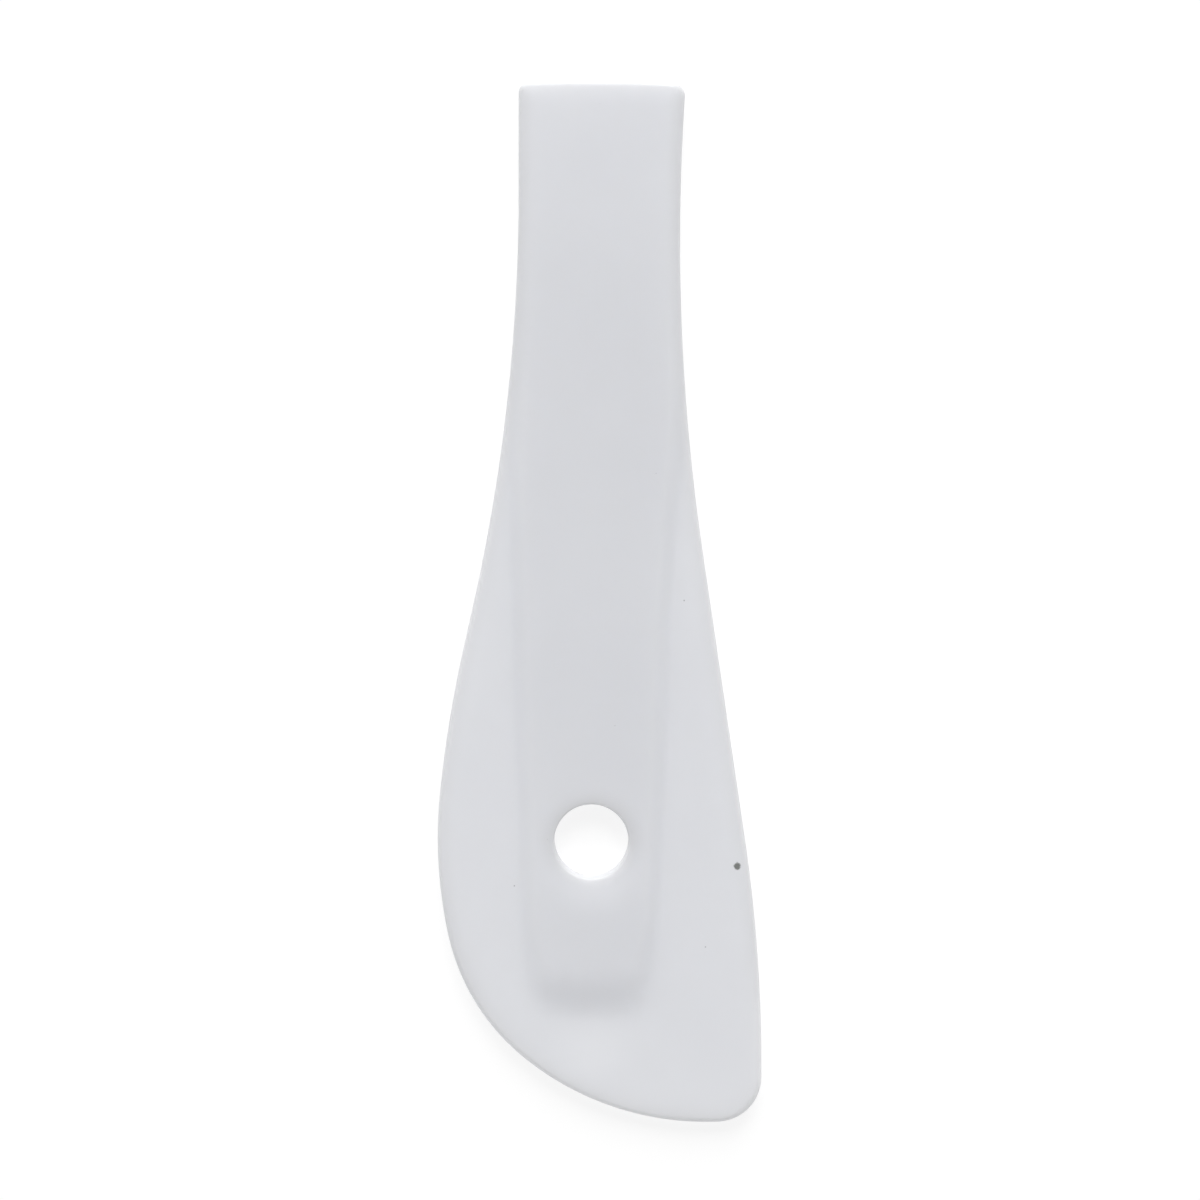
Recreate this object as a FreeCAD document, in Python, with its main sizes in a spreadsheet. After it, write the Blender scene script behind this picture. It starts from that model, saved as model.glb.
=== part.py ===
import FreeCAD, Part
import math
import os
import Sketcher

# A hand-held bone folder: one flat moulded bar, waisted at the grip, that widens into a thin blade.
#
# The folder lies flat. +Y runs along it to the grip's square end, +X is to the right seen from above,
# and +Z is up. The origin is under the middle of its outline, on the surface that it lies on.
# Millimetres throughout.
#
# Both faces are alike. Along the middle of each runs a raised spine, which is the grip's own bar
# carried on into the blade. It stops short of the toe in a soft ramp, and the hang hole goes
# through it in a dished seat.

NODE = "bone_folder"

# An edge runs straight up if it spreads less than this across, and is on a wall if its ends are
# this near to it.
UPRIGHT_SPREAD = 0.01
ON_WALL = 0.001
# How far the mesh that a volume is taken from may stray from the shape.
MESH_TOLERANCE = 0.02

# Driving dimensions: a word for each, its value, and what it is.
DIMENSIONS = (
    ("overall_length", 152.0, "grip end to toe"),
    ("overall_width", 47.3, "across the blade's widest part"),
    ("spine_thickness", 4.0, "between the spine's two flats"),
    ("blade_thickness", 2.6, "beside the spine"),
    ("rim_thickness", 2.42, "just outside the rim"),
    ("rim_round", 1.0, "rounding of the rim on each face"),
    ("blank_width", 27.0, "half the width of the blank that the outline is cut from"),
    ("flank_slope", 1.1, "spacing of the control points down the spine's sides"),
    # The outline's left side, from the grip end down to the sole.
    ("grip_left", -11.83, "straight left side of the grip"),
    ("grip_left_end", 59.4, "where that side starts to flare"),
    ("flare_left_radius", 274.0, "hollow flare"),
    ("flare_left_end", -0.8, "where the flare ends"),
    ("shoulder_left_end", -6.45, "where the straight run below the flare ends"),
    ("blade_left_radius", 184.0, "blade's left side"),
    ("belly_radius", 66.5, "widest part of the left side"),
    ("cheek_start", -48.4, "where the lower left corner starts"),
    ("cheek_radius", 32.1, "lower left corner"),
    ("sole_radius", 42.1, "long round lower edge"),
    ("toe_radius", 6.5, "lower right corner"),
    # Its right side, from the toe up to the grip end.
    ("blade_right_radius", 228.0, "blade's right side"),
    ("blade_right_end", -34.6, "where the right side becomes straight"),
    ("flare_right_start", 7.0, "where the right side starts to flare"),
    ("flare_right_across", 15.1, "how far out it is there"),
    ("flare_right_radius", 313.0, "hollow flare"),
    ("right_corner_radius", 1.9, "grip end, right corner"),
    ("end_radius", 200.0, "grip end"),
    ("end_peak", -1.0, "highest point of the grip end, across"),
    ("left_corner_radius", 1.45, "grip end, left corner"),
    # The hang hole, and the dish round it, whose middle is nearer to the toe.
    ("hole_radius", 5.4, "hang hole"),
    ("hole_across", -1.2, "its centre, across"),
    ("hole_along", -34.8, "its centre, along"),
    ("lip_round", 0.45, "rounding of the hole's two edges"),
    ("dish_radius", 9.3, "outside of the dish, where its roll is level"),
    ("dish_across", -0.6, "its centre, across"),
    ("dish_along", -37.0, "its centre, along"),
    ("dish_roll", 30.0, "radius of its rolled side"),
    ("dish_lift", 0.03, "how far the roll's top would stand above the spine's flat"),
    ("dish_core", 2.9, "inside of the rolled side, within the hole"),
)

# Cross-sections of the blank along Y: a name, the place, the spine's left and right edges (the
# middle of each side slope) and half the thickness at its crown. Beyond the grip end and the toe
# the blank runs past the outline.
STATIONS = (
    ("past_end", 80.0, -11.3, 11.8, 1.22),
    ("end", 76.0, -11.3, 11.8, 1.36),
    ("end_roll", 72.5, -11.3, 11.7, 1.56),
    ("end_taper", 69.0, -11.3, 11.55, 1.68),
    ("grip_top", 64.0, -11.3, 11.3, 1.79),
    ("grip_high", 57.0, -11.4, 11.1, 1.91),
    ("grip_middle", 49.0, -11.5, 11.1, 2.00),
    ("grip_low", 41.0, -11.7, 11.3, 2.06),
    ("neck", 33.0, -11.9, 11.5, 2.08),
    ("shoulder_high", 24.0, -12.1, 11.2, 2.08),
    ("shoulder_low", 14.0, -12.1, 10.4, 2.08),
    ("blade_high", 4.0, -11.8, 9.6, 2.08),
    ("blade_upper", -7.0, -11.5, 9.1, 2.08),
    ("blade_middle", -18.0, -11.1, 8.8, 2.08),
    ("blade_lower", -29.0, -10.8, 8.3, 2.08),
    ("blade_low", -39.0, -10.6, 7.9, 2.08),
    ("ramp_near", -46.0, -10.5, 7.6, 2.08),
    ("ramp_start", -50.5, -10.5, 7.4, 2.08),
    ("ramp_high", -54.0, -10.2, 7.1, 1.95),
    ("ramp_middle", -57.0, -9.3, 6.3, 1.67),
    ("ramp_low", -60.0, -7.5, 4.6, 1.38),
    ("ramp_end", -63.0, -6.1, 3.4, 1.31),
    ("toe_high", -66.5, -5.5, 3.0, 1.30),
    ("toe_middle", -71.0, -5.5, 3.0, 1.30),
    ("toe_low", -76.0, -5.5, 3.0, 1.30),
    ("past_toe", -81.0, -5.5, 3.0, 1.30),
)


def fill_sheet(sheet):
    """Write every driving dimension to the sheet, one row each, and return them by name."""
    rows = list(DIMENSIONS)
    for name, along, left, right, crown in STATIONS:
        rows += [
            (f"{name}_along", along, f"{name} section: place along the folder"),
            (f"{name}_left", left, f"{name} section: spine's left edge"),
            (f"{name}_right", right, f"{name} section: spine's right edge"),
            (f"{name}_crown", crown, f"{name} section: half the thickness at the crown"),
        ]
    for row, (alias, value, note) in enumerate(rows, start=1):
        sheet.set(f"A{row}", alias)
        sheet.set(f"B{row}", str(value))
        sheet.set(f"C{row}", note)
        sheet.setAlias(f"B{row}", alias)
    return {alias: value for alias, value, _ in rows}


def cell(alias):
    """The expression that reads a cell of the sheet."""
    return f"Dimensions.{alias}"


def origin_plane(body, role):
    """The body's own origin plane with this role."""
    return next(plane for plane in body.Origin.OriginFeatures if plane.Role == role)


def new_sketch(body, name, role):
    """An empty sketch on one of the body's origin planes."""
    sketch = body.newObject("Sketcher::SketchObject", name)
    sketch.AttachmentSupport = (origin_plane(body, role), [""])
    sketch.MapMode = "FlatFace"
    return sketch


def constrain(sketch, rules):
    """Add geometric rules to a sketch: each a kind and what it refers to."""
    sketch.addConstraint([Sketcher.Constraint(*rule) for rule in rules])


def dimension(sketch, sizes):
    """Add named dimensions to a sketch, each tied to the sheet by its formula."""
    first = sketch.ConstraintCount
    sketch.addConstraint(
        [Sketcher.Constraint(kind, *refers, value) for _, kind, refers, value, _ in sizes]
    )
    for index, (name, _, _, _, formula) in enumerate(sizes, start=first):
        sketch.renameConstraint(index, name)
        sketch.setExpression(f"Constraints.{name}", formula)


def section_poles(dims, name):
    """Control points of a section's upper line, left to right: a name, X and Z, and the formula
    of each. Two points each side of a spine edge set the slope between blade and crown."""
    left, right, crown = (dims[f"{name}_{part}"] for part in ("left", "right", "crown"))
    left_cell, right_cell, crown_cell = (
        cell(f"{name}_{part}") for part in ("left", "right", "crown")
    )
    blade, blade_cell = dims["blade_thickness"] / 2, f"{cell('blade_thickness')} / 2"
    rim, rim_cell = dims["rim_thickness"] / 2, f"{cell('rim_thickness')} / 2"
    width, width_cell = dims["blank_width"], cell("blank_width")
    slope, slope_cell = dims["flank_slope"], cell("flank_slope")

    def beside(label, edge, edge_cell, steps, height, height_cell):
        formula = f"{edge_cell} + {steps} * {slope_cell}"
        return (label, edge + steps * slope, height, formula, height_cell)

    return [
        ("left_rim", -width, rim, f"-{width_cell}", rim_cell),
        ("left_blade", (left - width) / 2, blade, f"({left_cell} - {width_cell}) / 2", blade_cell),
        beside("left_far_foot", left, left_cell, -1.5, blade, blade_cell),
        beside("left_foot", left, left_cell, -0.5, blade, blade_cell),
        beside("left_brow", left, left_cell, 0.5, crown, crown_cell),
        beside("left_far_brow", left, left_cell, 1.5, crown, crown_cell),
        ("crown", (left + right) / 2, crown, f"({left_cell} + {right_cell}) / 2", crown_cell),
        beside("right_far_brow", right, right_cell, -1.5, crown, crown_cell),
        beside("right_brow", right, right_cell, -0.5, crown, crown_cell),
        beside("right_foot", right, right_cell, 0.5, blade, blade_cell),
        beside("right_far_foot", right, right_cell, 1.5, blade, blade_cell),
        ("right_blade", (right + width) / 2, blade, f"({right_cell} + {width_cell}) / 2", blade_cell),
        ("right_rim", width, rim, width_cell, rim_cell),
    ]


def add_spline(sketch, points):
    """Add a cubic spline with these control points. Return its index and its first pole's."""
    curve = Part.BSplineCurve()
    curve.buildFromPoles(points, False, 3)
    index = sketch.addGeometry(curve)
    first_pole = sketch.GeometryCount
    sketch.exposeInternalGeometry(index)
    return index, first_pole


def section_sketch(body, dims, name):
    """One closed cross-section of the blank, the same above and below the middle plane."""
    sketch = new_sketch(body, f"Section_{name}", "XZ_Plane")
    sketch.setExpression("AttachmentOffset.Base.z", f"-{cell(name + '_along')}")
    poles = section_poles(dims, name)
    upper = [FreeCAD.Vector(x, z, 0) for _, x, z, _, _ in poles]
    lower = [FreeCAD.Vector(x, -z, 0) for _, x, z, _, _ in poles]
    top, top_pole = add_spline(sketch, upper)
    bottom, bottom_pole = add_spline(sketch, lower)
    left = sketch.addGeometry(Part.LineSegment(lower[0], upper[0]))
    right = sketch.addGeometry(Part.LineSegment(upper[-1], lower[-1]))
    constrain(
        sketch,
        [
            ("Coincident", top, 1, left, 2),
            ("Coincident", top, 2, right, 1),
            ("Coincident", bottom, 1, left, 1),
            ("Coincident", bottom, 2, right, 2),
        ],
    )
    constrain(
        sketch,
        [
            ("Symmetric", top_pole + number, 3, bottom_pole + number, 3, -1)
            for number in range(len(poles))
        ],
    )
    sizes = []
    for number, (label, x, z, x_formula, z_formula) in enumerate(poles, start=top_pole):
        sizes.append((f"{label}_x", "DistanceX", (-1, 1, number, 3), x, x_formula))
        sizes.append((f"{label}_z", "DistanceY", (-1, 1, number, 3), z, z_formula))
    dimension(sketch, sizes)
    return sketch


def arc_between(start, end, radius, turn):
    """The arc from start to end that turns left (turn 1) or right (turn -1), run anticlockwise."""
    chord = end.sub(start)
    middle = start.add(end).multiply(0.5)
    reach = math.sqrt(radius**2 - (chord.Length / 2) ** 2)
    across = FreeCAD.Vector(-chord.y, chord.x, 0).normalize()
    centre = middle.add(across.multiply(turn * reach))
    first, last = (start, end) if turn > 0 else (end, start)
    angles = [math.atan2(point.y - centre.y, point.x - centre.x) for point in (first, last)]
    circle = Part.Circle(centre, FreeCAD.Vector(0, 0, 1), radius)
    return Part.ArcOfCircle(circle, *angles)


def outline_runs(dims):
    """The outline, anticlockwise from the grip end's left corner: each run's name, where it
    starts, roughly, and its radius and turn where it is an arc. The rules in outline_sketch
    settle the exact places."""
    half_length = dims["overall_length"] / 2
    half_width = dims["overall_width"] / 2
    left, right = dims["grip_left"], dims["flare_right_across"]
    return [
        ("grip_left", (left, half_length - 1.7), None, 0),
        ("flare_left", (left, dims["grip_left_end"]), "flare_left_radius", -1),
        ("shoulder_left", (left - 6.7, dims["flare_left_end"]), None, 0),
        ("blade_left", (left - 8.0, dims["shoulder_left_end"]), "blade_left_radius", 1),
        ("belly", (0.3 - half_width, -27.8), "belly_radius", 1),
        ("cheek", (1.4 - half_width, dims["cheek_start"]), "cheek_radius", 1),
        ("sole", (-11.0, 9.2 - half_length), "sole_radius", 1),
        ("toe", (half_width - 6.7, -half_length), "toe_radius", 1),
        ("blade_right", (half_width, 6.5 - half_length), "blade_right_radius", 1),
        ("shank_right", (right + 6.1, dims["blade_right_end"]), None, 0),
        ("flare_right", (right, dims["flare_right_start"]), "flare_right_radius", -1),
        ("right_corner", (right - 2.6, half_length - 2.2), "right_corner_radius", 1),
        ("end", (right - 4.5, half_length - 0.4), "end_radius", 1),
        ("left_corner", (left + 1.4, half_length - 0.3), "left_corner_radius", 1),
    ]


def outline_sketch(body, dims):
    """The folder's outline, inside a frame that is wider than the blank."""
    sketch = new_sketch(body, "Outline", "XY_Plane")
    runs = outline_runs(dims)
    starts = [FreeCAD.Vector(*place, 0) for _, place, _, _ in runs]
    shapes = []
    for number, (_, _, radius, turn) in enumerate(runs):
        start, end = starts[number], starts[(number + 1) % len(runs)]
        if radius is None:
            shapes.append(Part.LineSegment(start, end))
        else:
            shapes.append(arc_between(start, end, dims[radius], turn))
    index = {}
    entry = {}
    leave = {}
    for (name, _, _, turn), shape in zip(runs, shapes):
        index[name] = sketch.addGeometry(shape)
        entry[name] = (index[name], 2 if turn < 0 else 1)
        leave[name] = (index[name], 1 if turn < 0 else 2)
    names = [name for name, _, _, _ in runs]
    joints = zip(names, names[1:] + names[:1])
    constrain(sketch, [("Tangent", *leave[one], *entry[two]) for one, two in joints])
    constrain(sketch, [("Vertical", index["grip_left"])])

    sizes = [
        (radius, "Radius", (index[name],), dims[radius], cell(radius))
        for name, _, radius, _ in runs
        if radius is not None
    ]
    half_length, length_cell = dims["overall_length"] / 2, f"{cell('overall_length')} / 2"
    half_width, width_cell = dims["overall_width"] / 2, f"{cell('overall_width')} / 2"
    sizes += [
        (name, kind, (-1, 1, *point), dims[name], cell(name))
        for name, kind, point in (
            ("grip_left", "DistanceX", entry["grip_left"]),
            ("grip_left_end", "DistanceY", leave["grip_left"]),
            ("flare_left_end", "DistanceY", leave["flare_left"]),
            ("shoulder_left_end", "DistanceY", leave["shoulder_left"]),
            ("cheek_start", "DistanceY", entry["cheek"]),
            ("blade_right_end", "DistanceY", leave["blade_right"]),
            ("flare_right_start", "DistanceY", entry["flare_right"]),
            ("flare_right_across", "DistanceX", entry["flare_right"]),
            ("end_peak", "DistanceX", (index["end"], 3)),
        )
    ]
    sizes += [
        (
            "belly_centre",
            "DistanceX",
            (-1, 1, index["belly"], 3),
            dims["belly_radius"] - half_width,
            f"{cell('belly_radius')} - {width_cell}",
        ),
        (
            "sole_centre",
            "DistanceY",
            (-1, 1, index["sole"], 3),
            dims["sole_radius"] - half_length,
            f"{cell('sole_radius')} - {length_cell}",
        ),
        (
            "blade_right_centre",
            "DistanceX",
            (-1, 1, index["blade_right"], 3),
            half_width - dims["blade_right_radius"],
            f"{width_cell} - {cell('blade_right_radius')}",
        ),
        (
            "end_centre",
            "DistanceY",
            (-1, 1, index["end"], 3),
            half_length - dims["end_radius"],
            f"{length_cell} - {cell('end_radius')}",
        ),
    ]
    dimension(sketch, sizes)
    return sketch


def add_polygon(sketch, corners):
    """Add a closed polygon of straight lines. Return the index of each line."""
    points = [FreeCAD.Vector(x, y, 0) for x, y in corners]
    following = points[1:] + points[:1]
    lines = [sketch.addGeometry(Part.LineSegment(*ends)) for ends in zip(points, following)]
    pairs = zip(lines, lines[1:] + lines[:1])
    constrain(sketch, [("Coincident", one, 2, two, 1) for one, two in pairs])
    return lines


def add_box(sketch, name, left, right, low, high):
    """Add a rectangle to a sketch. Each side is its place and the formula of it."""
    corners = [(left, low), (right, low), (right, high), (left, high)]
    bottom, side, top, other = add_polygon(sketch, [(x[0], y[0]) for x, y in corners])
    constrain(sketch, [("Horizontal", bottom), ("Horizontal", top)])
    constrain(sketch, [("Vertical", side), ("Vertical", other)])
    dimension(
        sketch,
        [
            (f"{name}_left", "DistanceX", (-1, 1, bottom, 1), *left),
            (f"{name}_low", "DistanceY", (-1, 1, bottom, 1), *low),
            (f"{name}_right", "DistanceX", (-1, 1, top, 1), *right),
            (f"{name}_high", "DistanceY", (-1, 1, top, 1), *high),
        ],
    )


def meshed_volume(shape):
    """The volume inside a fine mesh of the shape. On long splined faces it is closer to the truth
    than the shape's own figure."""
    points, facets = shape.tessellate(MESH_TOLERANCE)
    return sum(points[a].dot(points[b].cross(points[c])) for a, b, c in facets) / 6


def finish_cut(body, feature):
    """Recompute the body, and stop if the feature took nothing off it."""
    body.Document.recompute()
    before = feature.BaseFeature.Shape
    if feature.Shape.isNull() or meshed_volume(feature.Shape) >= meshed_volume(before):
        raise RuntimeError(f"{feature.Name} cuts nothing")


def cut_through(body, name, sketch):
    """Cut a sketch's shape through the whole body, both ways from the sketch."""
    pocket = body.newObject("PartDesign::Pocket", name)
    pocket.Profile = sketch
    pocket.SideType = "Symmetric"
    pocket.Type = "ThroughAll"
    finish_cut(body, pocket)


def round_edges(body, name, radius, wanted):
    """Round every edge of the body that is wanted, by a radius from the sheet."""
    fillet = body.newObject("PartDesign::Fillet", name)
    edges = enumerate(fillet.BaseFeature.Shape.Edges, start=1)
    fillet.Base = (fillet.BaseFeature, [f"Edge{number}" for number, edge in edges if wanted(edge)])
    fillet.setExpression("Radius", cell(radius))
    body.Document.recompute()
    if fillet.Shape.isNull() or len(fillet.Shape.Faces) <= len(fillet.BaseFeature.Shape.Faces):
        raise RuntimeError(f"{name} rounds nothing")


def is_upright(edge):
    """Whether an edge runs straight up."""
    box = edge.BoundBox
    return max(box.XLength, box.YLength) < UPRIGHT_SPREAD


def build_blank(body, dims):
    """The loft through every cross-section: blade, spine, ramp and tapering grip in one skin."""
    sections = [section_sketch(body, dims, name) for name, *_ in STATIONS]
    loft = body.newObject("PartDesign::AdditiveLoft", "Blank")
    loft.Profile = sections[0]
    loft.Sections = sections[1:]
    body.Document.recompute()


def cut_outline(body, dims):
    """Cut away all of the blank that is outside the outline, and round the rim that this leaves."""
    sketch = outline_sketch(body, dims)
    reach = (dims["overall_length"], cell("overall_length"))
    back = (-dims["overall_length"], f"-{cell('overall_length')}")
    add_box(sketch, "frame", back, reach, back, reach)
    cut_through(body, "Waste", sketch)
    round_edges(body, "RimRound", "rim_round", lambda edge: not is_upright(edge))


def cut_flats(body, dims):
    """Take the top off both crowns, which leaves the two flats that the folder can lie on."""
    sketch = new_sketch(body, "Flats", "YZ_Plane")
    far = (dims["overall_length"], cell("overall_length"))
    near = (-dims["overall_length"], f"-{cell('overall_length')}")
    flat = (dims["spine_thickness"] / 2, f"{cell('spine_thickness')} / 2")
    clear = (dims["spine_thickness"], cell("spine_thickness"))
    under_flat = (-flat[0], f"-{flat[1]}")
    under_clear = (-clear[0], f"-{clear[1]}")
    add_box(sketch, "upper", near, far, flat, clear)
    add_box(sketch, "lower", near, far, under_clear, under_flat)
    cut_through(body, "Crowns", sketch)


def dish_sketch(body, dims):
    """Half of the dish's turned section, over the middle plane, with the dish's axis for its
    upright one. From the dish's rim the surface rolls down to the hole on one arc."""
    sketch = new_sketch(body, "DishSection", "XZ_Plane")
    sketch.setExpression("AttachmentOffset.Base.x", cell("dish_across"))
    sketch.setExpression("AttachmentOffset.Base.z", f"-{cell('dish_along')}")
    rim, core, roll = dims["dish_radius"], dims["dish_core"], dims["dish_roll"]
    clear = dims["spine_thickness"]
    top = clear / 2 + dims["dish_lift"]
    bottom = top - roll + math.sqrt(roll**2 - (rim - core) ** 2)
    centre = FreeCAD.Vector(rim, top - roll, 0)
    circle = Part.Circle(centre, FreeCAD.Vector(0, 0, 1), roll)
    end_angle = math.atan2(bottom - centre.y, core - rim)
    arc = sketch.addGeometry(Part.ArcOfCircle(circle, math.pi / 2, end_angle))
    corners = [(core, bottom), (0, bottom), (0, clear), (rim, clear), (rim, top)]
    points = [FreeCAD.Vector(x, y, 0) for x, y in corners]
    floor, axis, ceiling, side = (
        sketch.addGeometry(Part.LineSegment(*ends)) for ends in zip(points, points[1:])
    )
    constrain(
        sketch,
        [
            ("Coincident", arc, 2, floor, 1),
            ("Coincident", floor, 2, axis, 1),
            ("Coincident", axis, 2, ceiling, 1),
            ("Coincident", ceiling, 2, side, 1),
            ("Coincident", side, 2, arc, 1),
            ("Horizontal", floor),
            ("Horizontal", ceiling),
            ("Vertical", side),
            ("Vertical", arc, 3, arc, 1),
            ("PointOnObject", axis, 1, -2),
            ("PointOnObject", axis, 2, -2),
        ],
    )
    half_cell = f"{cell('spine_thickness')} / 2"
    centre_cell = f"{half_cell} + {cell('dish_lift')} - {cell('dish_roll')}"
    dimension(
        sketch,
        [
            ("roll", "Radius", (arc,), roll, cell("dish_roll")),
            ("rim", "DistanceX", (-1, 1, arc, 3), rim, cell("dish_radius")),
            ("centre", "DistanceY", (-1, 1, arc, 3), centre.y, centre_cell),
            ("core", "DistanceX", (-1, 1, arc, 2), core, cell("dish_core")),
            ("clear", "DistanceY", (-1, 1, ceiling, 1), clear, cell("spine_thickness")),
        ],
    )
    return sketch


def cut_dishes(body, dims):
    """Turn the dish into the upper face, and mirror it into the lower one."""
    groove = body.newObject("PartDesign::Groove", "Dish")
    groove.Profile = dish_sketch(body, dims)
    groove.ReferenceAxis = (groove.Profile[0], ["V_Axis"])
    groove.Angle = 360
    finish_cut(body, groove)
    mirror = body.newObject("PartDesign::Mirrored", "DishBelow")
    mirror.Originals = [groove]
    mirror.MirrorPlane = (origin_plane(body, "XY_Plane"), [""])
    body.Tip = mirror
    finish_cut(body, mirror)


def cut_hole(body, dims):
    """Cut the hang hole, and round its two edges."""
    sketch = new_sketch(body, "HangHole", "XY_Plane")
    radius, across, along = (dims[name] for name in ("hole_radius", "hole_across", "hole_along"))
    centre = FreeCAD.Vector(across, along, 0)
    circle = sketch.addGeometry(Part.Circle(centre, FreeCAD.Vector(0, 0, 1), radius))
    dimension(
        sketch,
        [
            ("radius", "Radius", (circle,), radius, cell("hole_radius")),
            ("across", "DistanceX", (-1, 1, circle, 3), across, cell("hole_across")),
            ("along", "DistanceY", (-1, 1, circle, 3), along, cell("hole_along")),
        ],
    )
    cut_through(body, "Hole", sketch)

    def is_lip(edge):
        """Whether an edge goes round the hole's wall."""
        ends = (edge.firstVertex().Point, edge.lastVertex().Point)
        misses = [abs(math.hypot(end.x - across, end.y - along) - radius) for end in ends]
        return not is_upright(edge) and max(misses) < ON_WALL

    round_edges(body, "LipRound", "lip_round", is_lip)


def check(doc, body):
    """Stop if any object has failed, or the folder isn't one sound solid."""
    for item in doc.Objects:
        if {"Invalid", "Error"} & set(item.State):
            raise RuntimeError(f"{item.Name} has failed: {item.State}")
    if body.Shape.isNull() or not body.Shape.isValid() or len(body.Shape.Solids) != 1:
        raise RuntimeError(f"{body.Label} is not one sound solid")


def main():
    doc = FreeCAD.newDocument("BoneFolder")
    sheet = doc.addObject("Spreadsheet::Sheet", "Dimensions")
    dims = fill_sheet(sheet)
    doc.recompute()
    body = doc.addObject("PartDesign::Body", "Folder")
    body.Label = NODE
    build_blank(body, dims)
    cut_outline(body, dims)
    cut_flats(body, dims)
    cut_dishes(body, dims)
    cut_hole(body, dims)
    # The sections are drawn about the middle plane, which lies half the spine's thickness up.
    body.setExpression("Placement.Base.z", f"{cell('spine_thickness')} / 2")
    doc.recompute()
    check(doc, body)
    os.makedirs("parts", exist_ok=True)
    body.Shape.exportStep(f"parts/{body.Label}.step")


main()
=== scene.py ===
import math

import bpy
import numpy as np
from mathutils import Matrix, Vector
from mathutils.geometry import delaunay_2d_cdt


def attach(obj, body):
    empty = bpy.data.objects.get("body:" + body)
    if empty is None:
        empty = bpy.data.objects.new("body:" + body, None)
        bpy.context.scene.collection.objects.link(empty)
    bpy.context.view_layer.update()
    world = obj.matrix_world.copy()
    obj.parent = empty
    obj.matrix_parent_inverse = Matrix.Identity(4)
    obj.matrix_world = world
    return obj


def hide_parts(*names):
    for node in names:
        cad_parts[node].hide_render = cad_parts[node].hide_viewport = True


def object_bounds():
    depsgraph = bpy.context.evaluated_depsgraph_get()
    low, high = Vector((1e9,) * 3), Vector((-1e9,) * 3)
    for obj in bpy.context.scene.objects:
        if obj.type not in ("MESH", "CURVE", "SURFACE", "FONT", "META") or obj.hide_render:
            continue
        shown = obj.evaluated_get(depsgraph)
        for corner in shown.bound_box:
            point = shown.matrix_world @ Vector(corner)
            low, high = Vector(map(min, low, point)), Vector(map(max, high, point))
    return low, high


# A white moulded bone folder, lying flat under a broad soft light from beyond its grip end.
#
# The folder's skin is rebuilt as an even, finely divided mesh in place of the CAD solid's facets.
# Lengths are millimetres in the frame's own axes, and become metres where they reach Blender. The
# grip end is towards +Y, the toe towards -Y, and the two faces mirror each other in Z.

NODE = "bone_folder"
MM = 0.001

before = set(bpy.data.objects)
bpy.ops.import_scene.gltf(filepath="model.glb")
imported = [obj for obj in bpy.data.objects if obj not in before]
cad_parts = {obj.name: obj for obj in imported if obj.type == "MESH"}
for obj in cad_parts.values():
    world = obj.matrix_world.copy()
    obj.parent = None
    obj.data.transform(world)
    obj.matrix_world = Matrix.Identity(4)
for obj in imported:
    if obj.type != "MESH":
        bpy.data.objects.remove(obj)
cad_low, cad_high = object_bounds()

# The frame's box gives the folder's length, width and thickness.
HALF_LENGTH = min(cad_high.y, -cad_low.y) / MM
HALF_WIDTH = min(cad_high.x, -cad_low.x) / MM
HALF_THICKNESS = (cad_high.z - cad_low.z) / 2 / MM
MIDDLE_Z = (cad_high.z + cad_low.z) / 2 / MM


# ---------------------------------------------------------------------------------------------
# Outline: a ring of tangent circles and straights
# ---------------------------------------------------------------------------------------------

GRIP_LEFT = -11.83
GRIP_LEFT_END = 59.4
FLARE_LEFT_RADIUS = 274.0
FLARE_LEFT_END = -0.8
SHOULDER_LEFT_END = -6.45
BLADE_LEFT_RADIUS = 184.0
BELLY_RADIUS = 66.5
CHEEK_START = -48.4
CHEEK_RADIUS = 32.1
SOLE_RADIUS = 42.1
TOE_RADIUS = 6.5
BLADE_RIGHT_RADIUS = 228.0
FLARE_RIGHT = (15.1, 7.0)
RIGHT_LEAN = math.radians(8.37)
FLARE_RIGHT_RADIUS = 313.0
RIGHT_CORNER_RADIUS = 1.9
END_RADIUS = 200.0
END_PEAK = -1.0
LEFT_CORNER_RADIUS = 1.45
ON_ARC = 1e-6


def meet(first, first_radius, second, second_radius, side):
    """Where two circles cross, to the left (side 1) or right (side -1) of the line between them."""
    line = second - first
    apart = np.hypot(*line)
    along = (apart**2 + first_radius**2 - second_radius**2) / (2 * apart)
    across = math.sqrt(first_radius**2 - along**2)
    left = np.array([-line[1], line[0]]) / apart
    return first + line / apart * along + side * left * across


def toward(start, end, distance):
    """The point this far from start on the way to end."""
    line = end - start
    return start + line * distance / np.hypot(*line)


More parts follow.
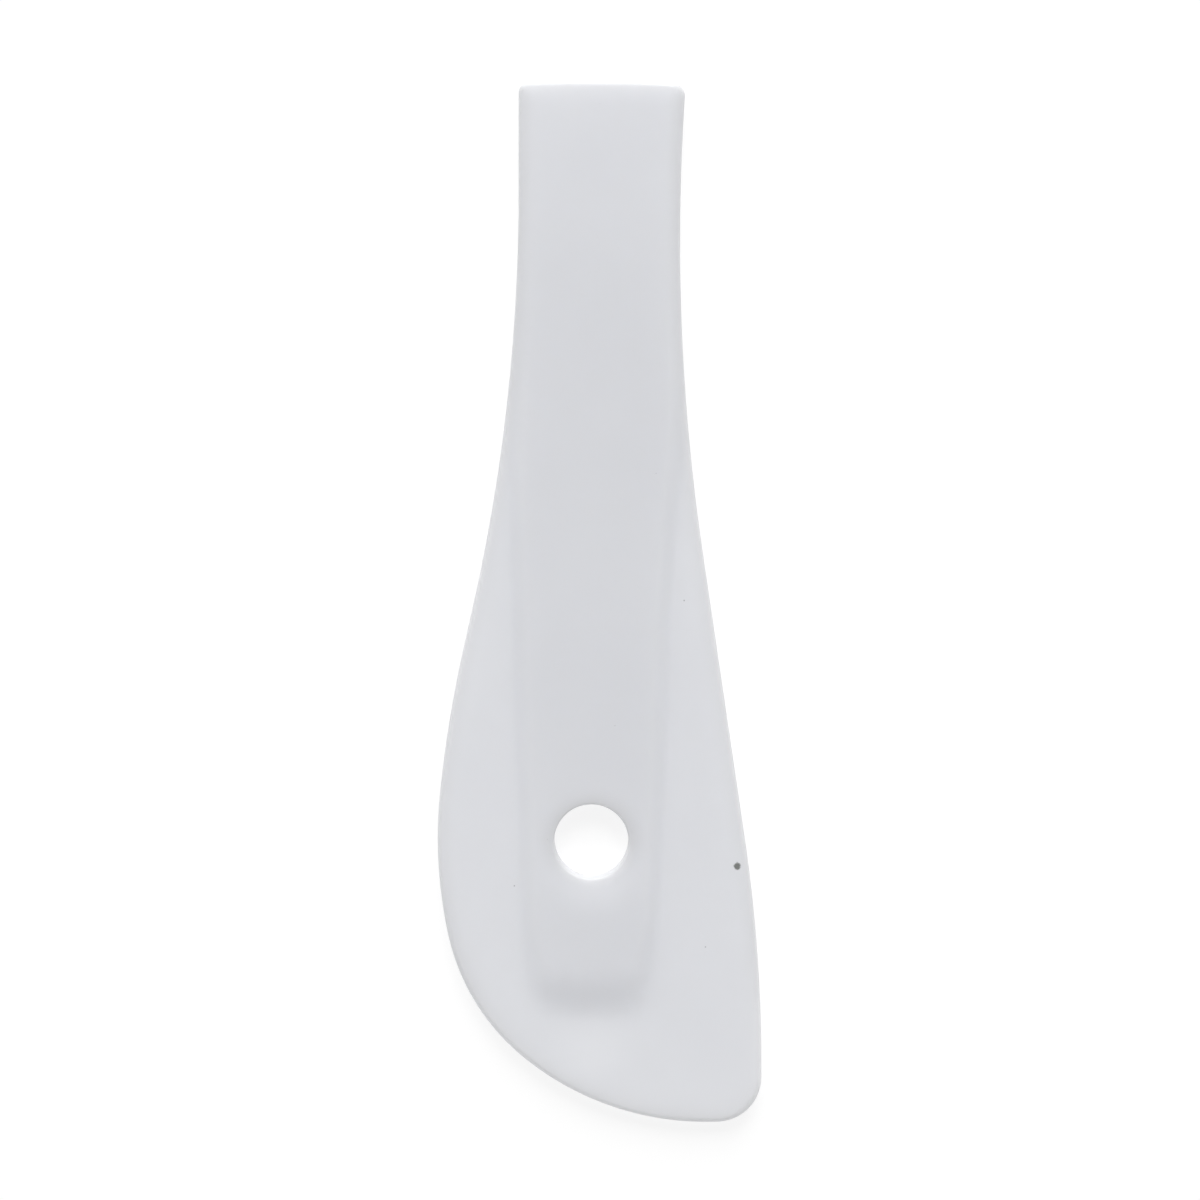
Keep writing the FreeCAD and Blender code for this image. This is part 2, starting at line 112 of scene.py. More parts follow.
def outline_runs():
    """The outline, anticlockwise from the top of the grip's left side, as (start, end, centre,
    turn) runs. A straight has no centre. An arc's turn is 1 to the left and -1 to the right."""
    grip_end = np.array([GRIP_LEFT, GRIP_LEFT_END])
    flare_left = grip_end - [FLARE_LEFT_RADIUS, 0]
    drop = FLARE_LEFT_END - flare_left[1]
    flare_end = flare_left + [math.sqrt(FLARE_LEFT_RADIUS**2 - drop**2), drop]
    spoke = (flare_end - flare_left) / FLARE_LEFT_RADIUS
    downhill = np.array([spoke[1], -spoke[0]])
    shoulder_end = flare_end + downhill * (SHOULDER_LEFT_END - FLARE_LEFT_END) / downhill[1]
    blade_left = shoulder_end + spoke * BLADE_LEFT_RADIUS
    belly_x = BELLY_RADIUS - HALF_WIDTH
    belly_reach = BLADE_LEFT_RADIUS - BELLY_RADIUS
    belly_rise = math.sqrt(belly_reach**2 - (belly_x - blade_left[0]) ** 2)
    belly = np.array([belly_x, blade_left[1] + belly_rise])
    cheek_drop = CHEEK_START - belly[1]
    cheek_start = belly + [-math.sqrt(BELLY_RADIUS**2 - cheek_drop**2), cheek_drop]
    cheek = toward(cheek_start, belly, CHEEK_RADIUS)
    sole_y = SOLE_RADIUS - HALF_LENGTH
    sole_reach = SOLE_RADIUS - CHEEK_RADIUS
    sole = np.array([cheek[0] + math.sqrt(sole_reach**2 - (sole_y - cheek[1]) ** 2), sole_y])

    flare_start = np.array(FLARE_RIGHT)
    down = np.array([math.sin(RIGHT_LEAN), -math.cos(RIGHT_LEAN)])
    inward = np.array([-math.cos(RIGHT_LEAN), -math.sin(RIGHT_LEAN)])
    level = HALF_WIDTH - BLADE_RIGHT_RADIUS
    straight = (level - flare_start[0] - inward[0] * BLADE_RIGHT_RADIUS) / down[0]
    straight_end = flare_start + down * straight
    blade_right = straight_end + inward * BLADE_RIGHT_RADIUS
    toe = meet(sole, SOLE_RADIUS - TOE_RADIUS, blade_right, BLADE_RIGHT_RADIUS - TOE_RADIUS, 1)
    flare_right = flare_start - inward * FLARE_RIGHT_RADIUS

    end = np.array([END_PEAK, HALF_LENGTH - END_RADIUS])
    corner_reach = END_RADIUS - RIGHT_CORNER_RADIUS
    right_corner = meet(end, corner_reach, flare_right, FLARE_RIGHT_RADIUS + RIGHT_CORNER_RADIUS, 1)
    left_x = GRIP_LEFT + LEFT_CORNER_RADIUS
    left_rise = math.sqrt((END_RADIUS - LEFT_CORNER_RADIUS) ** 2 - (left_x - end[0]) ** 2)
    left_corner = np.array([left_x, end[1] + left_rise])

    starts_and_arcs = [
        (left_corner - [LEFT_CORNER_RADIUS, 0], None, 0),
        (grip_end, flare_left, -1),
        (flare_end, None, 0),
        (shoulder_end, blade_left, 1),
        (toward(belly, blade_left, -BELLY_RADIUS), belly, 1),
        (cheek_start, cheek, 1),
        (toward(cheek, sole, -CHEEK_RADIUS), sole, 1),
        (toward(toe, sole, -TOE_RADIUS), toe, 1),
        (toward(toe, blade_right, -TOE_RADIUS), blade_right, 1),
        (straight_end, None, 0),
        (flare_start, flare_right, -1),
        (toward(right_corner, flare_right, RIGHT_CORNER_RADIUS), right_corner, 1),
        (toward(right_corner, end, -RIGHT_CORNER_RADIUS), end, 1),
        (toward(left_corner, end, -LEFT_CORNER_RADIUS), left_corner, 1),
    ]
    starts = [start for start, _, _ in starts_and_arcs]
    ends = starts[1:] + starts[:1]
    return [(start, end, *arc) for (start, *arc), end in zip(starts_and_arcs, ends)]


def inset(points):
    """How far each point is from the outline."""
    result = np.full(len(points), np.inf)
    for start, end, centre, _ in outline_runs():
        if centre is None:
            line = end - start
            share = np.clip((points - start) @ line / (line @ line), 0, 1)
            away = np.hypot(*(points - start - share[:, None] * line).T)
        else:
            radius = np.hypot(*(start - centre))
            spokes = points - centre
            reach = np.hypot(*spokes.T)
            middle = (start + end) / 2 - centre
            faces = spokes @ middle >= reach * ((start - centre) @ middle) / radius - ON_ARC
            away = np.where(faces, np.abs(reach - radius), np.inf)
        result = np.minimum(result, away)
    return result


def trace_outline(spacing, turn_step):
    """Points round the outline and their outward normals, no further apart than spacing, nor
    than this turn of an arc."""
    points, normals = [], []
    for start, end, centre, turn in outline_runs():
        if centre is None:
            count = math.ceil(np.hypot(*(end - start)) / spacing)
            share = np.arange(count)[:, None] / count
            direction = (end - start) / np.hypot(*(end - start))
            points.append(start + (end - start) * share)
            normals.append(np.tile([direction[1], -direction[0]], (count, 1)))
            continue
        first = math.atan2(*(start - centre)[::-1])
        last = math.atan2(*(end - centre)[::-1])
        sweep = (last - first + math.pi) % math.tau - math.pi
        radius = np.hypot(*(start - centre))
        count = math.ceil(max(abs(sweep) * radius / spacing, abs(sweep) / turn_step))
        angles = first + sweep * np.arange(count) / count
        spokes = np.stack([np.cos(angles), np.sin(angles)], axis=1)
        points.append(centre + spokes * radius)
        normals.append(spokes * turn)
    return np.concatenate(points), np.concatenate(normals)


# ---------------------------------------------------------------------------------------------
# Relief: how far each face stands off the middle plane
# ---------------------------------------------------------------------------------------------

# Half the blade's thickness, and how much of it is lost towards its edges and its toe.
BLADE_HALF = 1.3
BLADE_THINNING = 0.07
TOE_THINNING = 0.25
TOE_THINNING_START = -44
FLANK_HALF_SLOPE = 1.65
# The spine's edges, halfway down its sides, and its crown, as (along, across) and (along, half
# the thickness) points on smooth curves.
SPINE_LEFT = (
    (78, -11.0),
    (60, -11.1),
    (44, -11.5),
    (30, -11.9),
    (17, -12.1),
    (0, -11.7),
    (-20, -11.1),
    (-40, -10.6),
    (-64, -10.3),
)
SPINE_RIGHT = (
    (78, 11.6),
    (64, 11.1),
    (52, 10.95),
    (40, 11.2),
    (30, 11.4),
    (20, 11.0),
    (8, 9.9),
    (-6, 9.1),
    (-20, 8.7),
    (-40, 7.9),
    (-64, 7.2),
)
CROWN = (
    (76, 1.46),
    (72.5, 1.57),
    (69, 1.675),
    (64, 1.79),
    (57, 1.9),
    (50, 1.97),
    (43, 2.0),
    (36, 2.0),
)
# The spine ends in a ramp above the toe, whose foot bows out in the middle into a shallow sink.
RAMP_BROW = -52.3
RAMP_FOOT = -62.3
RAMP_ACROSS = -1.2
RAMP_BOW = 2.2
RAMP_BOW_REACH = 9.0
RAMP_SHORTEST = 6.0
SLOPE_SPREAD = 1.2
SPREAD_START = -43.0
SPREAD_LENGTH = 16.0
SINK_DEPTH = 0.24
SINK_CENTRE = np.array([-1.2, -62.3])
SINK_REACH = np.array([9.0, 9.6])
SHOULDER_DROP = 0.17
SHOULDER_WIDTH = 3.2
RIM_ROUND = 0.8
PARTING_RIDGE = 0.03

HOLE_CENTRE = np.array([-1.2, -34.8])
HOLE_RADIUS = 5.4
LIP_ROUND = 0.3
DISH_CENTRE = np.array([-0.6, -37.0])
DISH_RADIUS = 9.2
DISH_ROLL = 36.0


def smooth_curve(knots):
    """A natural cubic spline through (place, value) knots, as a function of place."""
    places, values = np.array(sorted(knots), float).T
    gaps = np.diff(places)
    rises = np.diff(values) / gaps
    system = np.eye(len(places))
    target = np.zeros(len(places))
    for knot in range(1, len(places) - 1):
        system[knot, knot - 1 : knot + 2] = gaps[knot - 1], 2 * (gaps[knot - 1] + gaps[knot]), gaps[knot]
        target[knot] = 6 * (rises[knot] - rises[knot - 1])
    bends = np.linalg.solve(system, target)

    def value(place):
        place = np.clip(place, places[0], places[-1])
        span = np.clip(np.searchsorted(places, place) - 1, 0, len(gaps) - 1)
        gap = gaps[span]
        left = places[span + 1] - place
        right = place - places[span]
        bend = (bends[span] * left**3 + bends[span + 1] * right**3) / (6 * gap)
        straight = (values[span] * left + values[span + 1] * right) / gap
        return straight + bend - gap * (bends[span] * left + bends[span + 1] * right) / 6

    return value


spine_left = smooth_curve(SPINE_LEFT)
spine_right = smooth_curve(SPINE_RIGHT)
crown_half = smooth_curve(CROWN)


def ease(share):
    """A smooth step from 0 at -1 to 1 at 1."""
    t = np.clip((share + 1) / 2, 0, 1)
    return t**3 * (10 - 15 * t + 6 * t**2)


def roll(distance, radius):
    """How far a quarter round of this radius has fallen, this distance from its foot."""
    inner = radius - np.clip(distance, 0, radius)
    return radius - np.sqrt(np.maximum(radius**2 - inner**2, 0))


def relief(points):
    """Half the thickness at these points, before the rim and the hole's lip are rounded."""
    x, y = points.T
    bow = RAMP_BOW * ((x - RAMP_ACROSS) / RAMP_BOW_REACH) ** 2
    foot = np.minimum(RAMP_FOOT + bow, RAMP_BROW - RAMP_SHORTEST)
    ramp = ease(2 * (y - foot) / (RAMP_BROW - foot) - 1)
    # Towards the ramp the spine's side slopes grow wider, inward.
    spread = SLOPE_SPREAD * ease(2 * (SPREAD_START - y) / SPREAD_LENGTH - 1)
    half_slope = FLANK_HALF_SLOPE + spread
    left, right = spine_left(y) + spread, spine_right(y) - spread
    side = ease((x - left) / half_slope) * ease((right - x) / half_slope)
    blade = BLADE_HALF - BLADE_THINNING * (x / HALF_WIDTH) ** 2
    toe = np.clip((TOE_THINNING_START - y) / (TOE_THINNING_START + HALF_LENGTH), 0, 1)
    blade = blade - TOE_THINNING * toe**2
    from_sink = np.hypot(*((points - SINK_CENTRE) / SINK_REACH).T)
    blade = blade - SINK_DEPTH * (1 - ease(2 * from_sink - 1))
    crown = np.minimum(crown_half(y), HALF_THICKNESS)
    from_dish = np.hypot(*(points - DISH_CENTRE).T)
    dish = roll(from_dish + DISH_ROLL - DISH_RADIUS, DISH_ROLL)
    shoulder = SHOULDER_DROP * np.clip(1 - inset(points) / SHOULDER_WIDTH, 0, 1) ** 2
    return blade + (crown - blade) * side * ramp - dish - shoulder


def relief_slope(points, step=0.01):
    """The relief's slope along X and Y."""
    return np.stack(
        [
            (relief(points + shift) - relief(points - shift)) / (2 * step)
            for shift in (np.array([step, 0]), np.array([0, step]))
        ],
        axis=1,
    )


# ---------------------------------------------------------------------------------------------
# Skin: rings down the rim and the hole's wall, and even triangles between them
# ---------------------------------------------------------------------------------------------

OUTLINE_SPACING = 0.8
OUTLINE_TURN = math.radians(7)
HOLE_POINTS = 108
GRID = 0.62
GRID_CLEARANCE = 0.4
ROUND_STEPS = np.radians([0, 14, 28, 42, 56, 70, 90])
PARTING_HALF = 0.1
MERGE_DISTANCE = 1e-7

# Painted shade along the edges is an attribute of the mesh, so that it follows the rim and the hole.
RIM_SHADE_ATTRIBUTE = "painted_rim_shade"
RIM_SHADE_WIDTH = 3.0
RIM_SHADE_START = -58.0
RIM_SHADE_FADE = 9.0


def rounded_ring(points, outward, radius, tuck):
    """Rings over a rounded edge, from its upright foot to the face it runs into. The face is
    inside the ring where outward points away from it, and tuck sets the foot in by that much."""
    rings = []
    for angle in ROUND_STEPS:
        ring = points - outward * (tuck + (radius - tuck) * (1 - math.cos(angle)))
        slope = relief_slope(ring)
        height = relief(ring) - radius * (1 - math.sin(angle))
        up = np.column_stack([-slope, np.ones(len(ring))])
        side = np.column_stack([outward, np.zeros(len(ring))])
        normals = math.sin(angle) * up + math.cos(angle) * side
        rings.append((np.column_stack([ring, height]), normals))
    return rings


def inside(points, ring):
    """Which points lie inside a closed ring."""
    result = np.zeros(len(points), bool)
    for (x0, y0), (x1, y1) in zip(ring, np.roll(ring, -1, axis=0)):
        if y0 == y1:
            continue
        crosses = (points[:, 1] < y0) != (points[:, 1] < y1)
        crossing = x0 + (points[:, 1] - y0) * (x1 - x0) / (y1 - y0)
        result ^= crosses & (points[:, 0] < crossing)
    return result


def nearest(points, ring):
    """How far each point is from the ring's nearest point."""
    result = np.full(len(points), np.inf)
    for corner in ring:
        result = np.minimum(result, np.hypot(*(points - corner).T))
    return result


def fill_face(rim, lip):
    """Even points between the rim and the hole's lip, and the triangles that join all three."""
    row = GRID * math.sqrt(3) / 2
    columns = np.arange(-HALF_WIDTH, HALF_WIDTH, GRID)
    rows = np.arange(-HALF_LENGTH, HALF_LENGTH, row)
    x, y = np.meshgrid(columns, rows)
    x = x + GRID / 2 * (np.arange(len(rows)) % 2)[:, None]
    grid = np.column_stack([x.ravel(), y.ravel()])
    lip_radius = HOLE_RADIUS + LIP_ROUND
    grid = grid[np.hypot(*(grid - HOLE_CENTRE).T) > lip_radius + GRID_CLEARANCE]
    grid = grid[inside(grid, rim)]
    grid = grid[nearest(grid, rim) > GRID_CLEARANCE]

    points = np.concatenate([rim, lip, grid])
    rim_loop = np.arange(len(rim))
    lip_loop = np.arange(len(lip)) + len(rim)
    edges = [*zip(rim_loop, np.roll(rim_loop, -1)), *zip(lip_loop, np.roll(lip_loop, -1))]
    edges = [(int(first), int(second)) for first, second in edges]
    coords = [Vector(point) for point in points.tolist()]
    flat, _, triangles, *_ = delaunay_2d_cdt(coords, edges, [], 0, MERGE_DISTANCE)
    if len(flat) != len(points):
        raise ValueError("the face's triangles don't keep its points")
    triangles = np.array([tuple(triangle) for triangle in triangles])
    middles = points[triangles].mean(axis=1)
    keep = inside(middles, rim) & (np.hypot(*(middles - HOLE_CENTRE).T) > lip_radius)
    return grid, triangles[keep]


def strip(first, second):
    """Quads between two rings of point numbers that run the same way round."""
    return np.column_stack([first, np.roll(first, -1), np.roll(second, -1), second])


def build_skin():
    """The folder's whole surface in millimetres off its middle plane: points, normals, faces."""
    outline, outward = trace_outline(OUTLINE_SPACING, OUTLINE_TURN)
    turns = np.arange(HOLE_POINTS) * math.tau / HOLE_POINTS
    spokes = np.column_stack([np.cos(turns), np.sin(turns)])
    wall = HOLE_CENTRE + spokes * HOLE_RADIUS
    rim = rounded_ring(outline, outward, RIM_ROUND, PARTING_RIDGE)
    lip = rounded_ring(wall, -spokes, LIP_ROUND, 0)
    grid, triangles = fill_face(rim[-1][0][:, :2], lip[-1][0][:, :2])

    rim_side = np.column_stack([outward, np.zeros(len(outline))])
    wall_side = np.column_stack([-spokes, np.zeros(HOLE_POINTS)])
    parting = (np.column_stack([outline, np.zeros(len(outline))]), rim_side)
    belt = (np.column_stack([wall, np.zeros(HOLE_POINTS)]), wall_side)
    foot = outline - outward * PARTING_RIDGE
    foot = (np.column_stack([foot, np.full(len(foot), PARTING_HALF)]), rim_side)
    face = (
        np.column_stack([grid, relief(grid)]),
        np.column_stack([-relief_slope(grid), np.ones(len(grid))]),
    )

    sheets = [parting, belt, foot, *rim[:-1], *lip[:-1], rim[-1], lip[-1], face]
    points = np.concatenate([sheet[0] for sheet in sheets])
    normals = np.concatenate([sheet[1] for sheet in sheets])
    normals /= np.linalg.norm(normals, axis=1)[:, None]
    counts = [len(sheet[0]) for sheet in sheets]
    loops = np.split(np.arange(len(points)), np.cumsum(counts)[:-1])
    rim_loops = [loops[0], *loops[2 : 2 + len(rim)], loops[-3]]
    lip_loops = [loops[1], *loops[2 + len(rim) : -3], loops[-2]]
    quads = [strip(low, high) for low, high in zip(rim_loops, rim_loops[1:])]
    quads += [strip(high, low) for low, high in zip(lip_loops, lip_loops[1:])]
    quads = np.concatenate(quads)
    triangles = triangles + loops[-3][0]

    # The underside is the same again with Z turned over. The two share the middle plane's rings.
    shared = counts[0] + counts[1]
    numbers = np.arange(len(points))
    below = np.where(numbers < shared, numbers, numbers + len(points) - shared)
    flip = np.array([1, 1, -1])
    points = np.concatenate([points, points[shared:] * flip])
    normals = np.concatenate([normals, normals[shared:] * flip])
    faces = [*quads.tolist(), *triangles.tolist()]
    faces += [*below[quads[:, ::-1]].tolist(), *below[triangles[:, ::-1]].tolist()]
    return points, normals, faces


def painted_rim_shade(points):
    """Painted shade: 1 along the rim and in the hole, fading to 0 on the face, and to 0 round the toe.
    """
    hole_away = np.maximum(np.hypot(*(points - HOLE_CENTRE).T) - HOLE_RADIUS, 0)
    near = np.clip(1 - np.minimum(inset(points), hole_away) / RIM_SHADE_WIDTH, 0, 1) ** 2
    return near * ease((points[:, 1] - RIM_SHADE_START) / RIM_SHADE_FADE)


def folder_object():
    """The folder's skin as one smooth mesh, with its exact normals and the painted shade along its
    edges.
    """
    points, normals, faces = build_skin()
    mesh = bpy.data.meshes.new("folder_skin")
    points = (points + [0, 0, MIDDLE_Z]) * MM
    mesh.from_pydata(points.tolist(), [], faces)
    mesh.shade_smooth()
    mesh.normals_split_custom_set_from_vertices(normals.tolist())
    mesh.validate()
    # Painted shade, darker along the rim and in the hole, is kept as a value on each point.
    rim_shade = mesh.attributes.new(RIM_SHADE_ATTRIBUTE, "FLOAT", "POINT")
    rim_shade.data.foreach_set("value", painted_rim_shade(points[:, :2] / MM).tolist())
    piece = bpy.data.objects.new("folder", mesh)
    bpy.context.scene.collection.objects.link(piece)
    return piece


# ---------------------------------------------------------------------------------------------
# Material
# ---------------------------------------------------------------------------------------------


class Nodes:
    """A material's nodes, added and wired by name."""

    def __init__(self, name):
        self.material = bpy.data.materials.new(name)
        self.material.use_nodes = True
        self.tree = self.material.node_tree
        self.shader = self.tree.nodes["Principled BSDF"]

    def add(self, kind, inputs=(), **settings):
        """A new node, with each input set to a value or wired to another node's output."""
        node = self.tree.nodes.new(kind)
        for key, value in settings.items():
            setattr(node, key, value)
        for key, value in dict(inputs).items():
            if isinstance(value, bpy.types.NodeSocket):
                self.tree.links.new(value, node.inputs[key])
            else:
                node.inputs[key].default_value = value
        return node


WHITE = (0.806, 0.813, 0.836)
SHADE = (0.793, 0.800, 0.824)
# The grey of the painted shade along the rim and in the hole.
RIM_SHADE_GREY = (0.72, 0.726, 0.746)
FLECK = (0.26, 0.27, 0.26)
GRAIN = (0.42, 0.42, 0.44)

# A dark speck moulded into the blade, and small marks on the face, as (across, along, radius).
FLECK_AT = (20.07, -38.44, 0.62)
FLECK_SOFTNESS = 0.35
MARKS = (
    (0.5, 75.7, 0.16),
    (3.7, 47.7, 0.14),
    (-10.0, 42.6, 0.15),
    (12.3, 0.2, 0.16),
    (-12.4, -41.3, 0.15),
    (15.4, -50.2, 0.15),
)
MARK_SOFTNESS = 0.7
MARK_STRENGTH = 0.95

# Noise scales are features per metre, and a range is the part of a noise that shows.
CLOUD_SCALE = 38
CLOUD_RANGE = (0.35, 0.7)
GRAIN_SCALE = 700
GRAIN_RANGE = (0.03, 0.07)
GRAIN_PATCH_SCALE = 160
GRAIN_PATCH_RANGE = (0.66, 0.7)
GRAIN_STRENGTH = 0.5
RAGGED_SCALE = 1800
RAGGED_REACH = 0.0005
POLISH_SCALE = 90
POLISH_RANGE = (0.3, 0.7)
ROUGHNESS = (0.42, 0.54)
LONG_SCUFF_SCALE = 260
LONG_SCUFF_STRETCH = (1, 0.06, 1)
LONG_SCUFF_RANGE = (0.62, 0.72)
CROSS_SCUFF_SCALE = 300
CROSS_SCUFF_STRETCH = (0.08, 1, 1)
CROSS_SCUFF_RANGE = (0.66, 0.74)
SCUFF_DEPTH = -0.4
PEBBLE_SCALE = 2600
BUMP_STRENGTH = 0.12
BUMP_DISTANCE = 0.00003
PLASTIC_IOR = 1.49
GLOW_DEPTH = 0.003


def spot(nodes, place, mark, softness):
    """1 inside a small round spot on the upper face, falling to 0 over its soft edge."""
    across, along, radius = (length * MM for length in mark)
    middle = (across, along, (MIDDLE_Z + BLADE_HALF) * MM)
    away = nodes.add("ShaderNodeVectorMath", {0: place, 1: middle}, operation="DISTANCE")
    return nodes.add(
        "ShaderNodeMapRange",
        {
            "Value": away.outputs["Value"],
            "From Min": radius,
            "From Max": radius * (1 - softness),
        },
        interpolation_type="SMOOTHSTEP",
    ).outputs["Result"]


def noise(nodes, place, scale, detail, stretch=(1, 1, 1)):
    """Noise with features of about 1 / scale metres, longer where stretch is small."""
    mapping = nodes.add("ShaderNodeMapping", {"Vector": place, "Scale": stretch})
    return nodes.add(
        "ShaderNodeTexNoise",
        {"Vector": mapping.outputs["Vector"], "Scale": scale, "Detail": detail},
    ).outputs["Fac"]


def remap(nodes, value, span, target=(0, 1)):
    """Value carried from one range to another, and held at its ends."""
    (low, high), (to_low, to_high) = span, target
    return nodes.add(
        "ShaderNodeMapRange",
        {"Value": value, "From Min": low, "From Max": high, "To Min": to_low, "To Max": to_high},
    ).outputs["Result"]


def blend(nodes, share, first, second):
    """Two colours mixed."""
    node = nodes.add("ShaderNodeMix", {0: share}, data_type="RGBA")
    for socket, colour in ((node.inputs[6], first), (node.inputs[7], second)):
        if isinstance(colour, bpy.types.NodeSocket):
            nodes.tree.links.new(colour, socket)
        else:
            socket.default_value = (*colour, 1)
    return node.outputs[2]


def largest(nodes, values):
    """The largest of several values."""
    result = values[0]
    for value in values[1:]:
        result = nodes.add("ShaderNodeMath", {0: result, 1: value}, operation="MAXIMUM").outputs[0]
    return result


def clouded_white(nodes, place):
    """Faintly clouded white, greyer along the rim and in the hole as painted shade."""
    clouds = remap(nodes, noise(nodes, place, CLOUD_SCALE, 3), CLOUD_RANGE)
    # Painted shade greys the rim and the hole.
    rim_shade = nodes.add("ShaderNodeAttribute", attribute_name=RIM_SHADE_ATTRIBUTE).outputs["Fac"]
    return blend(nodes, rim_shade, blend(nodes, clouds, WHITE, SHADE), RIM_SHADE_GREY)


def rare_grains(nodes, place):
    """Fine grains, in a few patches only."""
    cells = nodes.add("ShaderNodeTexVoronoi", {"Vector": place, "Scale": GRAIN_SCALE})
    grains = remap(nodes, cells.outputs["Distance"], GRAIN_RANGE, (1, 0))
    patches = noise(nodes, place, GRAIN_PATCH_SCALE, 2)
    patches = remap(nodes, patches, GRAIN_PATCH_RANGE, (0, GRAIN_STRENGTH))
    return nodes.add("ShaderNodeMath", {0: grains, 1: patches}, operation="MULTIPLY").outputs[0]


def ragged_place(nodes, place):
    """The place pushed about by fine noise, so that what is drawn there has a ragged edge."""
    push = nodes.add("ShaderNodeTexNoise", {"Vector": place, "Scale": RAGGED_SCALE, "Detail": 2})
    push = push.outputs["Color"]
    for operation, inputs in (("ADD", {1: (-0.5,) * 3}), ("SCALE", {"Scale": RAGGED_REACH})):
        push = nodes.add("ShaderNodeVectorMath", {0: push, **inputs}, operation=operation)
        push = push.outputs["Vector"]
    ragged = nodes.add("ShaderNodeVectorMath", {0: place, 1: push}, operation="ADD")
    return ragged.outputs["Vector"]


def scuffs(nodes, place):
    """Hairline scuffs along and across the folder."""
    along = noise(nodes, place, LONG_SCUFF_SCALE, 4, LONG_SCUFF_STRETCH)
    across = noise(nodes, place, CROSS_SCUFF_SCALE, 3, CROSS_SCUFF_STRETCH)
    along = remap(nodes, along, LONG_SCUFF_RANGE)
    across = remap(nodes, across, CROSS_SCUFF_RANGE)
    return largest(nodes, [along, across])


def white_plastic():
    """Milky satin plastic, faintly clouded, with painted shade along its edges, fine grain, hairline
    scuffs and a few specks.
    """
    nodes = Nodes("white_plastic")
    place = nodes.add("ShaderNodeTexCoord").outputs["Object"]

    colour = clouded_white(nodes, place)
    colour = blend(nodes, rare_grains(nodes, place), colour, GRAIN)
    marks = largest(nodes, [spot(nodes, place, mark, MARK_SOFTNESS) for mark in MARKS])
    colour = blend(nodes, remap(nodes, marks, (0, 1), (0, MARK_STRENGTH)), colour, GRAIN)
    fleck = spot(nodes, ragged_place(nodes, place), FLECK_AT, FLECK_SOFTNESS)
    colour = blend(nodes, fleck, colour, FLECK)

    polish = noise(nodes, place, POLISH_SCALE, 4)
    roughness = remap(nodes, polish, POLISH_RANGE, ROUGHNESS)
    scratches = remap(nodes, scuffs(nodes, place), (0, 1), (0, SCUFF_DEPTH))
    pebbles = noise(nodes, place, PEBBLE_SCALE, 3)
    height = nodes.add("ShaderNodeMath", {0: pebbles, 1: scratches}, operation="ADD")
    bump = nodes.add(
        "ShaderNodeBump",
        {"Height": height.outputs[0], "Strength": BUMP_STRENGTH, "Distance": BUMP_DISTANCE},
    )

    shader = nodes.shader
    nodes.tree.links.new(colour, shader.inputs["Base Color"])
    nodes.tree.links.new(roughness, shader.inputs["Roughness"])
    nodes.tree.links.new(bump.outputs["Normal"], shader.inputs["Normal"])
    shader.inputs["IOR"].default_value = PLASTIC_IOR
    shader.inputs["Subsurface Weight"].default_value = 1.0
    shader.inputs["Subsurface Radius"].default_value = (1.0, 1.0, 1.0)
    shader.inputs["Subsurface Scale"].default_value = GLOW_DEPTH
    return nodes.material


# ---------------------------------------------------------------------------------------------
# Floor, light and camera
# ---------------------------------------------------------------------------------------------

FLOOR_SIZE = 3000.0
FLOOR_GAP = 0.05
FLOOR_GREY = 0.3
FLOOR_ROUGHNESS = 0.9
FLOOR_GLOW = 0.76
SKY_GLOW = 0.41
WINDOW_ELEVATION = math.radians(33)
WINDOW_DISTANCE = 8000.0
WINDOW_SIZE = 5800.0
WINDOW_POWER = 560.0
SENSOR_WIDTH = 36
CAMERA_HEIGHT = 320.0
CAMERA_ALONG = 18.0
FRAME_WIDTH = 175.25
FRAME_CENTRE = (0.06, 0.2)


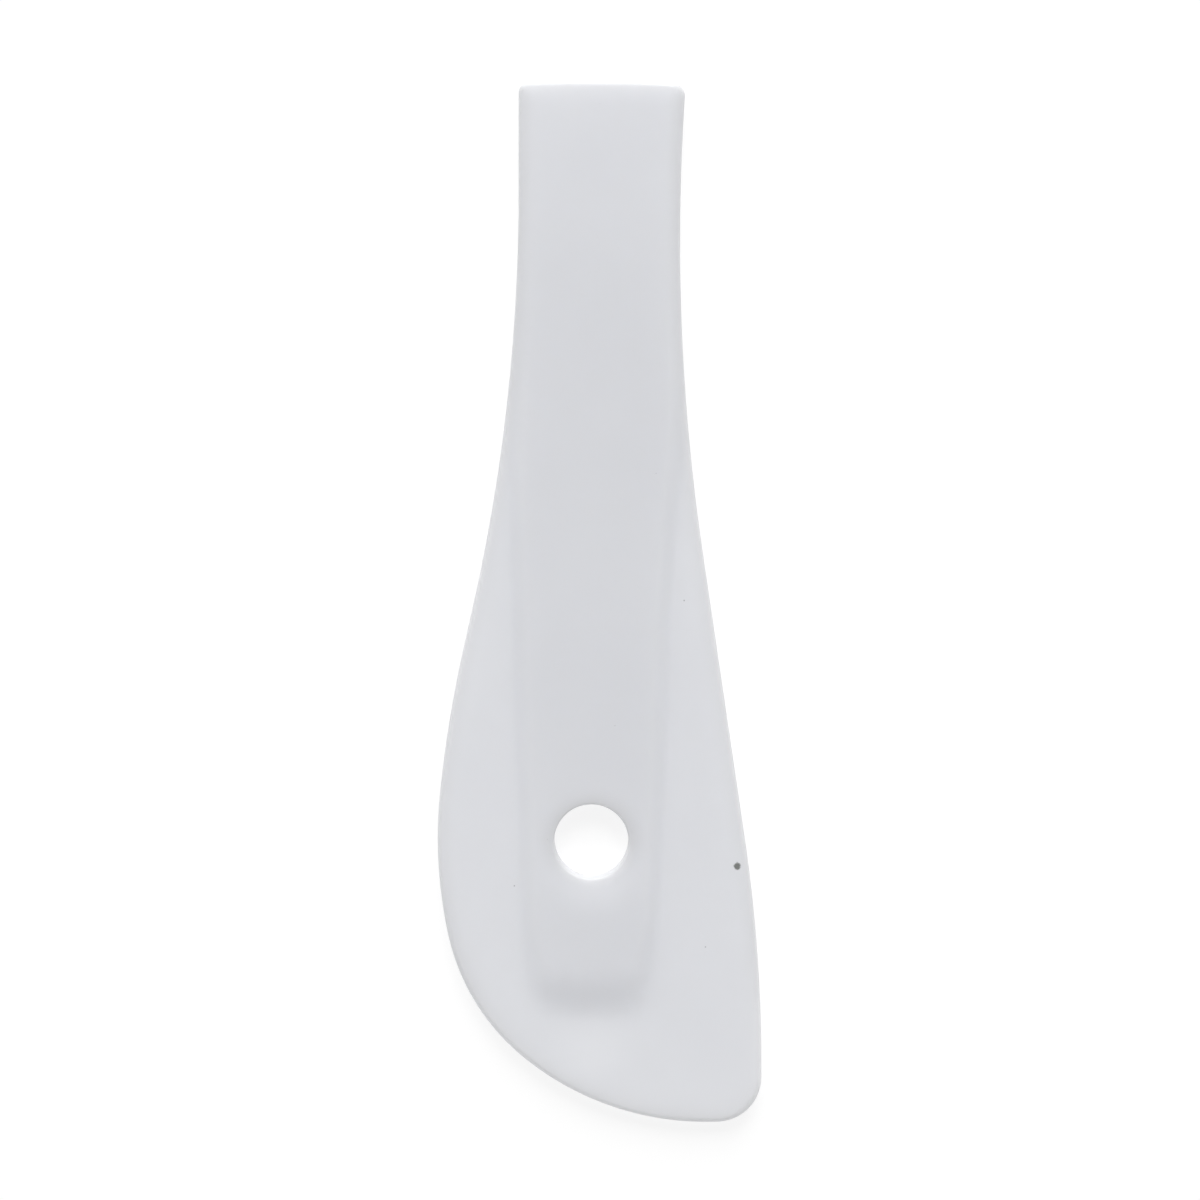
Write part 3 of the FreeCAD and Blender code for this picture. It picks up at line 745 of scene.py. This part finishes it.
def floor_object():
    """A wide pale floor just under the folder, which glows enough to look evenly lit."""
    half = FLOOR_SIZE * MM / 2
    corners = [(-half, -half, 0), (half, -half, 0), (half, half, 0), (-half, half, 0)]
    mesh = bpy.data.meshes.new("floor")
    mesh.from_pydata(corners, [], [(0, 1, 2, 3)])
    nodes = Nodes("pale_floor")
    nodes.shader.inputs["Base Color"].default_value = (FLOOR_GREY, FLOOR_GREY, FLOOR_GREY, 1)
    nodes.shader.inputs["Roughness"].default_value = FLOOR_ROUGHNESS
    nodes.shader.inputs["Emission Color"].default_value = (1, 1, 1, 1)
    nodes.shader.inputs["Emission Strength"].default_value = FLOOR_GLOW
    mesh.materials.append(nodes.material)
    floor = bpy.data.objects.new("floor", mesh)
    floor.location.z = cad_low.z - FLOOR_GAP * MM
    bpy.context.scene.collection.objects.link(floor)
    return floor


def light_sky():
    """The same soft light from every side."""
    sky = bpy.data.worlds.new("studio")
    sky.use_nodes = True
    background = sky.node_tree.nodes["Background"]
    background.inputs["Color"].default_value = (1, 1, 1, 1)
    background.inputs["Strength"].default_value = SKY_GLOW
    bpy.context.scene.world = sky


def light_window():
    """A broad square light, low beyond the grip end, facing the folder."""
    data = bpy.data.lights.new("window", "AREA")
    data.size = WINDOW_SIZE * MM
    data.energy = WINDOW_POWER
    window = bpy.data.objects.new("window", data)
    away = Vector((0, math.cos(WINDOW_ELEVATION), math.sin(WINDOW_ELEVATION)))
    window.location = away * WINDOW_DISTANCE * MM
    window.rotation_euler = away.to_track_quat("Z", "Y").to_euler()
    bpy.context.scene.collection.objects.link(window)


def set_camera():
    """Looks straight down from beyond the middle, so that the hole's wall towards the toe shows."""
    data = bpy.data.cameras.new("camera")
    data.sensor_fit = "HORIZONTAL"
    data.sensor_width = SENSOR_WIDTH
    data.lens = SENSOR_WIDTH * CAMERA_HEIGHT / FRAME_WIDTH
    data.shift_y = (FRAME_CENTRE[1] - CAMERA_ALONG) / FRAME_WIDTH
    camera = bpy.data.objects.new("camera", data)
    camera.location = (FRAME_CENTRE[0] * MM, CAMERA_ALONG * MM, (MIDDLE_Z + CAMERA_HEIGHT) * MM)
    bpy.context.scene.collection.objects.link(camera)
    bpy.context.scene.camera = camera


folder = folder_object()
folder.data.materials.append(white_plastic())
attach(folder, "root")
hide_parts(NODE)

floor_object()
light_sky()
light_window()
set_camera()
bpy.context.scene.view_settings.view_transform = "Standard"
